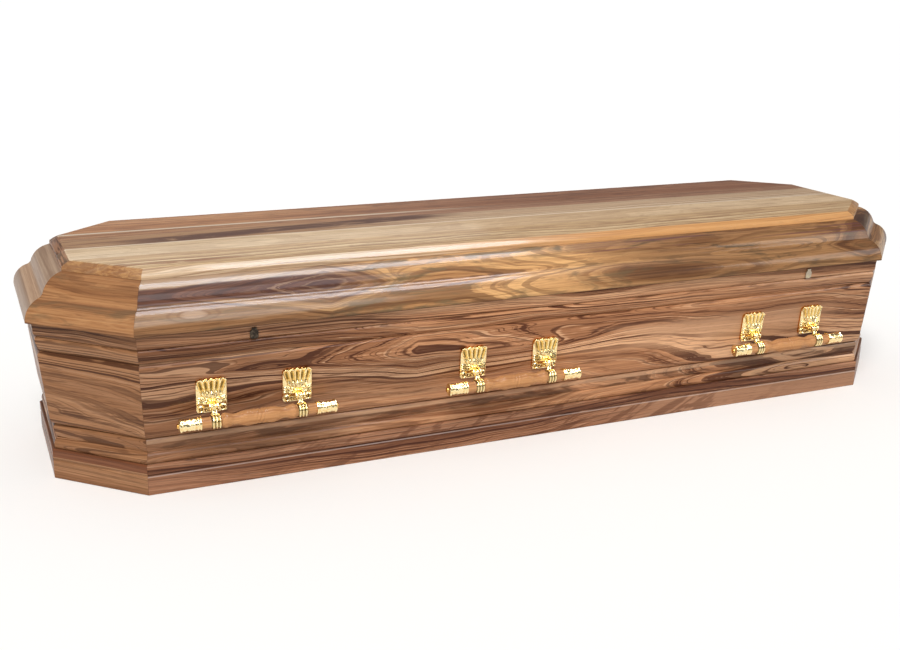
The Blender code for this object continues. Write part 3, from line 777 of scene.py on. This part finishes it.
def mitred_run(side, profile, name):
    """A closed profile drawn along one side of the plan, mitred at both corners."""
    along = side_direction(side)
    bm = bmesh.new()
    groove_painted_shade = bm.verts.layers.float.new("groove_painted_shade")
    hollow = hollows(profile)
    # The wall's top edge, under the lid's overhang, gets a painted shadow too
    for i, (out, up) in enumerate(profile):
        if out > wall_out(up) - QUIRK and abs(up - RIM_HEIGHT) < QUIRK:
            hollow[i] = 1.0
    ends = []
    for index, inward in ((side, 1), (side + 1, -1)):
        ease = along * inward * JOINT_GAP / 2 / math.cos(half_turn(index))
        plan = [corner(index, out) + ease for out, up in profile]
        ends.append([bm.verts.new((p.x, p.y, up)) for p, (out, up) in zip(plan, profile)])
    for ring in ends:
        for vert, depth in zip(ring, hollow):
            vert[groove_painted_shade] = depth
    skin(bm, ends)
    return finished_mesh(bm, name)


def octagon_board(levels, name):
    bm = bmesh.new()
    rings = []
    for out, up in levels:
        plan = [corner(index, out) for index in range(len(SIDES))]
        rings.append([bm.verts.new((p.x, p.y, up)) for p in plan])
    skin(bm, rings)
    return finished_mesh(bm, name)


# Timber of each board: palette, seed and figure by side

def build_timber():
    for side, label in enumerate(SIDES):
        along = side_direction(side)
        angle = math.atan2(along.y, along.x)
        out = -side_normal(side).dot(plan_points()[side])
        wall = dict(palette="brown", seed=side + 1.0, pith=(out + 0.16, 0.1), wander=0.09, rings=26.0)
        skirt = dict(palette="red", seed=side + 21.0, pith=(out + 0.1, -0.1), wander=0.07, rings=30.0)
        lid = dict(palette="golden", seed=side + 41.0, pith=(out + 0.05, 0.27), wander=0.09,
                   rings=28.0, smudge=0.6)
        if label == "front":
            wall.update(knots=((-0.307, out - 0.073, 0.221, 0.04, 0.055, 0.8, 0.11, 0.085),),
                        tilt=0.02, streaks=0.95, lights=0.65, rings=34.0, dress=dress_front_wall)
            lid.update(knots=((-0.49, out - 0.051, 0.374, 0.034, 0.09, 0.0, 0.14, 0.3),
                              (0.82, out - 0.055, 0.362, 0.032, 0.03, 0.0, 0.3, 0.3),
                              (0.17, out - 0.067, 0.348, 0.022, 0.01, 0.0, 0.08, 0.14)),
                       tilt=0.02, streaks=0.55, lights=0.35, smudge=0.95, wander=0.06,
                       dress=dress_front_lid)
            skirt.update(dress=dress_front_skirt)
        if label == "front_left":
            lid.update(palette="clip lid")
            wall.update(palette="clip", streaks=0.95)
            skirt.update(palette="clip", streaks=0.4, wander=0.03, dress=dress_clip_skirt)
        if label == "left_end":
            lid.update(palette="beige", smudge=0.0, wander=0.015, streaks=0.35, lights=0.4,
                       dress=dress_end_lid)
        for kind, slot, profile, looks in (("wall", "wall_timber", wall_profile(), wall),
                                           ("skirt", "skirt_timber", skirt_profile(), skirt),
                                           ("lid_moulding", "lid_timber", moulding_profile(), lid)):
            node = kind + "_" + label
            mesh = mitred_run(side, softened(profile), "timber_" + node)
            mesh.materials.append(timber("timber " + node, angle, **looks))
            place("timber_" + node, mesh, "case", slot, node)
    front = -TOP_WIDTH / 2
    knots = ((-0.481, front - 0.012, 0.412, 0.016, 0.02, 0.9, 0.1, 0.2),
             (0.446, front - 0.01, 0.415, 0.013, 0.01, 1.0, 0.35, 0.35),
             (0.109, front - 0.01, 0.414, 0.016, 0.01, 0.4, 0.35, 0.35),
             (0.193, -0.195, HEIGHT, 0.014, 0.01, 0.4, 0.12, 0.12),
             (-0.56, -0.16, HEIGHT, 0.008, 0.01, 0.6, 0.3, 0.3))
    panel = octagon_board(panel_levels(), "timber_lid_panel")
    panel.materials.append(timber("timber lid panel", 0.0, "pale", 61.0, pith=(0.02, 0.3), wander=0.08,
                                  rings=24.0, dress=dress_planks, streaks=0.6, knots=knots))
    place("timber_lid_panel", panel, "case", "panel_timber", "lid_panel")
    floor = timber("timber floor", 0.0, "plain", 71.0, pith=(0.0, -0.2), rings=16.0, coat=0.0,
                   roughness=0.55, streaks=0.4)
    give(frame["nodes"]["floor_board"], floor)


def give(node, material):
    node.data.materials.clear()
    node.data.materials.append(material)


# Handles

def smooth(value, low, high):
    t = min(max((value - low) / (high - low), 0.0), 1.0)
    return t * t * (3 - 2 * t)


def bell(value, width):
    return math.exp(-(value / width) ** 2)


def plate_height(u, v, top):
    """Relief of the handle plate in millimetres, and how deep in a hollow the spot is, which sets the
    painted shade there.
    """
    edge = min(PLATE_WIDTH * 500 - abs(u), top - v, v + PLATE_HEIGHT * 500)
    h = PLATE_RIM * 1000 - 1.4 * math.exp(-max(edge, 0) / 0.9)
    hollow = 0.0
    spread = 0.7 + 0.012 * (v - 5) if v > 5 else 0.7 - 0.026 * (5 - v)
    q = u / spread / 11.6
    if v > -12 and abs(q) < 2.62:
        flute = q - round(q)
        strength = smooth(v, -12, -4)
        inside = 1 - smooth(abs(q), 2.45, 2.62)
        ridge = bell(abs(flute) - 0.5, 0.24) * strength
        h += 2.4 * ridge * inside
        pit = bell(flute, 0.23) * smooth(v, 2, 9) * (1 - smooth(v, 26, 31))
        h -= 3.6 * pit
        h += 1.8 * bell(flute, 0.13) * bell(v - 7, 4)
        slit = bell(flute, 0.13) * smooth(v, 9, 15) * (1 - smooth(v, 23, 29))
        hollow = max(hollow, 1.3 * slit)
    h += 3.4 * bell(math.hypot(u / 1.1, v + 4), 9.5)
    if v < 0 and 6 < abs(u):
        reach = smooth(abs(u), 6, 11) * (1 - smooth(abs(u), 24.5, 28))
        rib = 0.0
        for number in range(3):
            line = -5.0 - 4.9 * number + 0.13 * (abs(u) - 8)
            rib += bell(v - line, 1.25)
        h += 2.8 * rib * reach
        hollow = max(hollow, 0.8 * reach * (1 - min(rib, 1)) * bell(v + 9.5, 6))
    d = math.hypot(abs(u) - 20.5, v + 26.2)
    h += 2.0 * bell(d - 5.2, 1.5) - 1.8 * (1 - smooth(d, 2.6, 4.2)) + 1.5 * (1 - smooth(d, 1.4, 2.6))
    hollow = max(hollow, bell(d - 3.1, 0.9))
    spot = bell(math.hypot(abs(u) - 10.5, v + 27.5), 2.6)
    h -= 2.6 * spot
    return max(h, 2.0), max(hollow, spot)


def plate_mesh():
    """Fine relief plate with its two cheeks, saddle and hinge pin; X across, -Y out, Z up."""
    columns = 76
    rows = 88
    half = PLATE_WIDTH * 500
    top = PLATE_HEIGHT * 500
    bm = bmesh.new()
    cavity_painted_shade = bm.verts.layers.float.new("cavity_painted_shade")
    edge = bm.verts.layers.float.new("edge")
    grid = []
    for j in range(rows + 1):
        line = []
        for i in range(columns + 1):
            s = 2 * i / columns - 1
            notch = abs(math.cos(math.pi * (s * FLUTES / 2 + (FLUTES % 2) / 2)))
            crown = top - SCALLOP * 1000 * notch ** 3
            v = -top + (crown + top) * j / rows
            reach = half - 0.5 * bell((v + 3.5) % 9.4 - 4.7, 1.2) * (1 if v < 8 else 0)
            corner_size = PLATE_CORNER * 1000
            if v < corner_size - top:
                drop = corner_size - top - v
                reach = half - corner_size + math.sqrt(max(corner_size ** 2 - drop ** 2, 0))
            if v > crown - 6:
                reach -= 6 - math.sqrt(max(36 - (v - crown + 6) ** 2, 0))
            u = s * reach
            height, hollow = plate_height(u, v, crown)
            vert = bm.verts.new((u / 1000, -height / 1000, v / 1000))
            vert[cavity_painted_shade] = min(hollow, 1.0)
            vert[edge] = 0.25 if j > rows - 2 else 0.0
            line.append(vert)
        grid.append(line)
    skin(bm, grid, solid=False)
    rim = grid[0] + [line[-1] for line in grid[1:]] + grid[-1][-2::-1] + [line[0] for line in grid[-2:0:-1]]
    back = [bm.verts.new((vert.co.x, 0.0, vert.co.z)) for vert in rim]
    # The plate's sides get the full orange: partly worn plating, partly a painted warm reflection
    for vert in back:
        vert[edge] = 1.0
    for i in range(len(rim)):
        j = (i + 1) % len(rim)
        bm.faces.new((rim[i], rim[j], back[j], back[i]))
    bm.faces.new(back)
    inner = KNUCKLE_WIDTH / 2 + TURN_GAP
    for side in (-1, 1):
        add_prism(bm, cheek_outline(), CHEEK_THICKNESS, side * (inner + CHEEK_THICKNESS / 2), 0.0009)
    front = PIVOT_OUT - KNUCKLE_RADIUS - TURN_GAP
    half_up = 0.006
    saddle = [(-0.003, -PIVOT_DROP - half_up), (-0.003, -PIVOT_DROP + half_up),
              (-front, -PIVOT_DROP + half_up), (-front, -PIVOT_DROP - half_up)]
    add_prism(bm, saddle, 2 * inner, 0.0, 0.0)
    add_lathe(bm, [(0.0, -inner), (PIN_RADIUS, -inner), (PIN_RADIUS, inner), (0.0, inner)], 20,
              Matrix.Translation((0, -PIVOT_OUT, -PIVOT_DROP)))
    return finished_mesh(bm, "handle_plate", 40)


def cheek_outline():
    root = PLATE_RIM / 2
    low = (-root, -PIVOT_DROP - CHEEK_RADIUS)
    high = (-root, -PIVOT_DROP + CHEEK_RADIUS)
    nose = arc((-PIVOT_OUT, high[1]), (-PIVOT_OUT, low[1]), -CHEEK_RADIUS * 0.999, 18)
    return [low, high, (-PIVOT_OUT, high[1])] + nose


def add_prism(bm, outline, width, x, bevel):
    """Adds an outline in the Y-Z plane, extruded about x, with its edges rounded."""
    face = bm.faces.new([bm.verts.new((x - width / 2, y, z)) for y, z in outline])
    grown = bmesh.ops.extrude_face_region(bm, geom=[face])
    moved = [item for item in grown["geom"] if isinstance(item, bmesh.types.BMVert)]
    bmesh.ops.translate(bm, verts=moved, vec=(width, 0, 0))
    if bevel:
        ends = [item for item in grown["geom"] if isinstance(item, bmesh.types.BMFace)] + [face]
        edges = list(dict.fromkeys(edge for end in ends for edge in end.edges))
        bmesh.ops.bevel(bm, geom=edges, offset=bevel, segments=3, profile=0.6, affect="EDGES")


def add_lathe(bm, profile, sides, matrix=Matrix(), closed=False, swell=None):
    """Adds a turned shape about X; profile is (radius, along), and swell(angle, along) adds relief."""
    rings = []
    for radius, along in profile:
        if radius == 0:
            rings.append([bm.verts.new(matrix @ Vector((along, 0, 0)))])
            continue
        ring = []
        for k in range(sides):
            angle = 2 * math.pi * k / sides
            r = radius + (swell(angle, along) if swell else 0.0)
            ring.append(bm.verts.new(matrix @ Vector((along, r * math.cos(angle), r * math.sin(angle)))))
        rings.append(ring)
    pairs = list(zip(rings, rings[1:]))
    if closed:
        pairs.append((rings[-1], rings[0]))
    for a, b in pairs:
        for k in range(sides):
            m = (k + 1) % sides
            if len(a) == 1:
                bm.faces.new((a[0], b[k], b[m]))
            elif len(b) == 1:
                bm.faces.new((a[k], b[0], a[m]))
            else:
                bm.faces.new((a[k], b[k], b[m], a[m]))


def arm_mesh():
    """Knuckle, neck and ribbed collar; origin on the hinge axis."""
    bm = bmesh.new()
    inner = BAR_RADIUS + JOINT_GAP
    half = COLLAR_WIDTH / 2
    outer = []
    steps = 40
    for step in range(steps + 1):
        along = -half + COLLAR_WIDTH * step / steps
        rib = sum(bell(along - at, RIB_WIDTH) for at in (-RIB_PITCH, 0.0, RIB_PITCH))
        lip = bell(abs(along) - half, COLLAR_LIP)
        radius = inner + COLLAR_WALL - RIB_GROOVE + RIB_RISE * rib - COLLAR_LIP * lip
        outer.append((radius, along))
    matrix = Matrix.Translation((0, -ARM_OUT, -ARM_DROP))
    add_lathe(bm, outer + [(inner, half), (inner, -half)], 56, matrix, closed=True)
    # Painted shade in the collar's rib grooves, and further down along the neck's groove
    cavity_painted_shade = bm.verts.layers.float.new("cavity_painted_shade")
    for vert in bm.verts:
        depth = inner + COLLAR_WALL - math.hypot(vert.co.y + ARM_OUT, vert.co.z + ARM_DROP)
        vert[cavity_painted_shade] = smooth(depth, 0.0006, 0.0018)
    round_off = 0.0012
    knuckle = [(0.0, -KNUCKLE_WIDTH / 2), (KNUCKLE_RADIUS - round_off, -KNUCKLE_WIDTH / 2)]
    knuckle += [(KNUCKLE_RADIUS, round_off - KNUCKLE_WIDTH / 2), (KNUCKLE_RADIUS, -0.0016)]
    knuckle += [(KNUCKLE_RADIUS - KNUCKLE_WAIST, 0.0)]
    knuckle += [(radius, -along) for radius, along in reversed(knuckle[:-1])]
    add_lathe(bm, knuckle, 40)
    down = Vector((0, -ARM_OUT, -ARM_DROP)).normalized()
    front = Vector((0, down.z, -down.y))
    reach = math.hypot(ARM_OUT, ARM_DROP) - inner - COLLAR_WALL * 0.4
    start = 0.0025
    sections = []
    count = 20
    for step in range(count + 1):
        t = step / count
        along = start + (reach - start) * t
        width = 0.009 + 0.0014 * smooth(t, 0.3, 0.45) + 0.0066 * smooth(t, 0.6, 1.0) ** 1.4
        depth = 0.0092 - 0.0022 * smooth(t, 0.0, 0.5) + 0.0022 * smooth(t, 0.7, 1.0)
        ring = []
        for k in range(28):
            angle = 2 * math.pi * k / 28
            cx = math.copysign(abs(math.cos(angle)) ** 0.7, math.cos(angle))
            cy = math.copysign(abs(math.sin(angle)) ** 0.7, math.sin(angle))
            dent = bell(cx, 0.3) * (cy > 0) * smooth(t, 0.15, 0.4)
            point = down * along + front * (cy * depth / 2 - 0.0012 * dent) + Vector((cx * width / 2, 0, 0))
            vert = bm.verts.new(point)
            vert[cavity_painted_shade] = 0.8 * dent
            ring.append(vert)
        sections.append(ring)
    skin(bm, sections)
    return finished_mesh(bm, "handle_arm", 40)


def eased(points, at):
    """Reads a smooth line through (place, value) points."""
    for (x0, y0), (x1, y1) in zip(points, points[1:]):
        if x0 <= at <= x1:
            t = (at - x0) / (x1 - x0)
            return y0 + (y1 - y0) * t * t * (3 - 2 * t)
    return points[-1][1]


WOOD_RADII = ((0.0, 13.4), (10.0, 14.2), (23.0, 15.0), (48.0, 10.2), (66.0, 14.2), (72.0, 11.0),
              (92.0, 11.0), (94.0, 10.0), (110.0, 10.0))


def bar_mesh():
    """Turned and lightly carved wooden bar, its origin on its own axis."""
    end = BAR_LENGTH * 500 - TIP_LENGTH * 1000
    steps = 150
    profile = [(0.0, -end / 1000)]
    for step in range(steps + 1):
        along = -end + 2 * end * step / steps
        profile.append((eased(WOOD_RADII, abs(along)) / 1000, along / 1000))
    profile.append((0.0, end / 1000))

    def carving(angle, along):
        mm = along * 1000
        twist = math.sin(2 * angle + mm * 0.42) ** 2
        knot = bell(mm, 9.0) * (twist - 0.5) * 1.9
        petals = bell(abs(mm) - 24, 9.0) * math.cos(3 * angle) * 0.6
        return (knot + petals) / 1000

    bm = bmesh.new()
    add_lathe(bm, profile, 56, swell=carving)
    return finished_mesh(bm, "handle_bar", 50)


def tip_mesh():
    """Gilt end cap, in millimetres: beads at the wood, a waisted sleeve, a rolled rim and a button."""
    wood = BAR_LENGTH * 500 - TIP_LENGTH * 1000
    profile = [(0.0, 0.0), (11.4, 0.0), (12.8, 0.4), (13.3, 1.6), (12.8, 3.0), (11.8, 3.8), (11.8, 4.8),
               (12.6, 5.6), (12.8, 6.6), (12.3, 7.8), (11.4, 8.6)]
    sleeve = 32
    profile += [(11.3 + 0.5 * (k / sleeve) ** 2, 8.6 + 26.0 * k / sleeve) for k in range(1, sleeve + 1)]
    profile += [(12.4, 35.4), (13.1, 36.4), (13.3, 37.8), (12.8, 39.2), (11.6, 40.2), (9.3, 41.0),
                (6.8, 41.6), (5.4, 42.0), (5.2, 43.2), (4.4, 44.3), (2.6, 44.9), (0.0, 45.0)]

    def embossed(angle, along):
        mm = along * 1000 - wood
        body = smooth(mm, 9, 13) * (1 - smooth(mm, 30, 34))
        scroll = math.sin(5 * angle + 3 * math.sin(along * 420)) * math.sin(along * 700)
        return 0.0006 * body * scroll

    bm = bmesh.new()
    profile = [(radius / 1000, (wood + along) / 1000) for radius, along in profile]
    add_lathe(bm, profile, 56, swell=embossed)
    edge = bm.verts.layers.float.new("edge")
    for vert in bm.verts:
        vert[edge] = 0.28 if vert.co.x * 1000 > wood + 41.8 else 0.0
    return finished_mesh(bm, "handle_tip", 50)


def build_handles(metal, wood):
    meshes = {"plate": plate_mesh(), "arm": arm_mesh(), "bar": bar_mesh(), "tip": tip_mesh()}
    for kind in ("plate", "arm", "tip"):
        meshes[kind].materials.append(metal)
    meshes["bar"].materials.append(wood)
    for joint in frame["joints"]:
        name = joint["child"]
        back = joint["axis"][0] > 0
        turn = Euler((splay(), 0, math.pi if back else 0)).to_matrix().to_4x4()
        pivot = Matrix.Translation(joint["pos_m"]) @ turn
        bar_at = pivot @ Matrix.Translation((0, -ARM_OUT, -ARM_DROP))
        for label, side in (("left", -1), ("right", 1)):
            shift = side * PLATE_PITCH / 2
            seat = pivot @ Matrix.Translation((shift, PIVOT_OUT, PIVOT_DROP))
            plate = name + "_plate_" + label
            place("gilt_" + plate, meshes["plate"], "case", "gold_metal", plate, seat)
            arm = name + "_arm_" + label
            place("gilt_" + arm, meshes["arm"], name, "gold_metal", arm,
                  pivot @ Matrix.Translation((shift, 0, 0)))
            turn_end = Matrix.Rotation(math.pi if side < 0 else 0, 4, "Z")
            place("gilt_" + name + "_tip_" + label, meshes["tip"], name, "gold_metal", name + "_bar",
                  bar_at @ turn_end)
        place("turned_" + name + "_bar", meshes["bar"], name, "bar_timber", name + "_bar", bar_at)


def build_catches():
    """Keeper plates: their CAD nodes with eased edges, darker at the left than at the right, the pale
    bronze being a painted reflection.
    """
    dark = bronze("smoked bronze", (0.03, 0.022, 0.016), (0.13, 0.1, 0.07))
    pale = bronze("bronze with painted reflection", (0.42, 0.35, 0.27), (0.55, 0.46, 0.3))
    for label, node in frame["nodes"].items():
        if not label.startswith("lid_catch"):
            continue
        # Dark and pale tones of one bronze: the pale one is a painted reflection
        give(node, dark if label.endswith("front_left") or label.endswith("back_right") else pale)
        eased_edges = node.modifiers.new("eased edges", "BEVEL")
        eased_edges.width = 0.0007
        eased_edges.segments = 3


# Studio

def add_lamp(name, kind, power, colour, way):
    """A lamp that shines along a way."""
    data = bpy.data.lights.new(name, kind)
    data.energy = power
    data.color = colour
    lamp = put_in_scene(name, data)
    lamp.rotation_euler = Vector(way).to_track_quat("-Z", "Y").to_euler()
    return lamp


# Softboxes seen in the lacquer and the gilding only: name, place, aim, size, power, colour
SOFTBOXES = (
    ("overhead", (0.1, 0.04, 2.45), (0.1, -0.3, 0.3), (1.8, 0.95), 150, (0.8, 0.89, 1.0)),
    ("front high", (0.0, -2.6, 2.6), (0.0, -0.3, 0.3), (1.8, 1.4), 60, (0.9, 0.92, 1.0)),
    ("left", (-3.2, -1.6, 1.6), (0.0, -0.3, 0.3), (1.0, 1.0), 15, (1.0, 0.98, 0.94)),
    ("right", (3.0, -2.2, 1.8), (0.0, -0.3, 0.3), (1.2, 1.2), 45, (1.0, 0.98, 0.94)),
    ("rear", (0.0, 3.2, 2.0), (0.0, -0.3, 0.3), (3.0, 0.8), 10, (1.0, 1.0, 1.0)),
)


# Strength of the white surroundings on matt surfaces and in reflections, and of the sun
DIFFUSE_SKY = 0.46
GLOSSY_SKY = 0.16
SUNLIGHT = 2.6
GROUND_DROP = 0.0005


def build_studio():
    bm = bmesh.new()
    bmesh.ops.create_grid(bm, x_segments=1, y_segments=1, size=90)
    ground = put_in_scene("ground", finished_mesh(bm, "ground"))
    ground.location.z = -GROUND_DROP
    g = new_finish("pale floor")
    g.set(Base_Color=(0.92, 0.92, 0.92, 1), Roughness=0.9, Specular_IOR_Level=0.0)
    ground.data.materials.append(g.owner)
    world = bpy.data.worlds.new("studio")
    bpy.context.scene.world = world
    g = Graph(world, "Background")
    ray = g.node("ShaderNodeLightPath").outputs
    inputs = {"Value": ray["Is Glossy Ray"], "To Min": DIFFUSE_SKY, "To Max": GLOSSY_SKY}
    strength = g.node("ShaderNodeMapRange", inputs).outputs[0]
    g.set(Color=(1, 1, 1, 1), Strength=g.larger(ray["Is Camera Ray"], strength))
    sun = add_lamp("sun", "SUN", SUNLIGHT, (1.0, 0.98, 0.95), (0.3, 0.55, -0.85))
    sun.data.angle = math.radians(30)
    for name, at, aim, size, power, colour in SOFTBOXES:
        lamp = add_lamp(name, "AREA", power, colour, Vector(aim) - Vector(at))
        lamp.location = at
        lamp.data.shape = "RECTANGLE"
        lamp.data.size, lamp.data.size_y = size
        lamp.visible_diffuse = False
    bpy.context.scene.view_settings.view_transform = "Standard"
    bpy.context.scene.view_settings.look = "None"


make_camera()
build_timber()
gold = gilt("polished gilt")
bar_wood = timber("bar timber", 0.0, "bar", 81.0, pith=(0.03, 0.03), rings=60.0, wander=0.02,
                  streaks=0.4, lights=0.4, roughness=0.42, coat=0.1)
build_handles(gold, bar_wood)
build_catches()
build_studio()
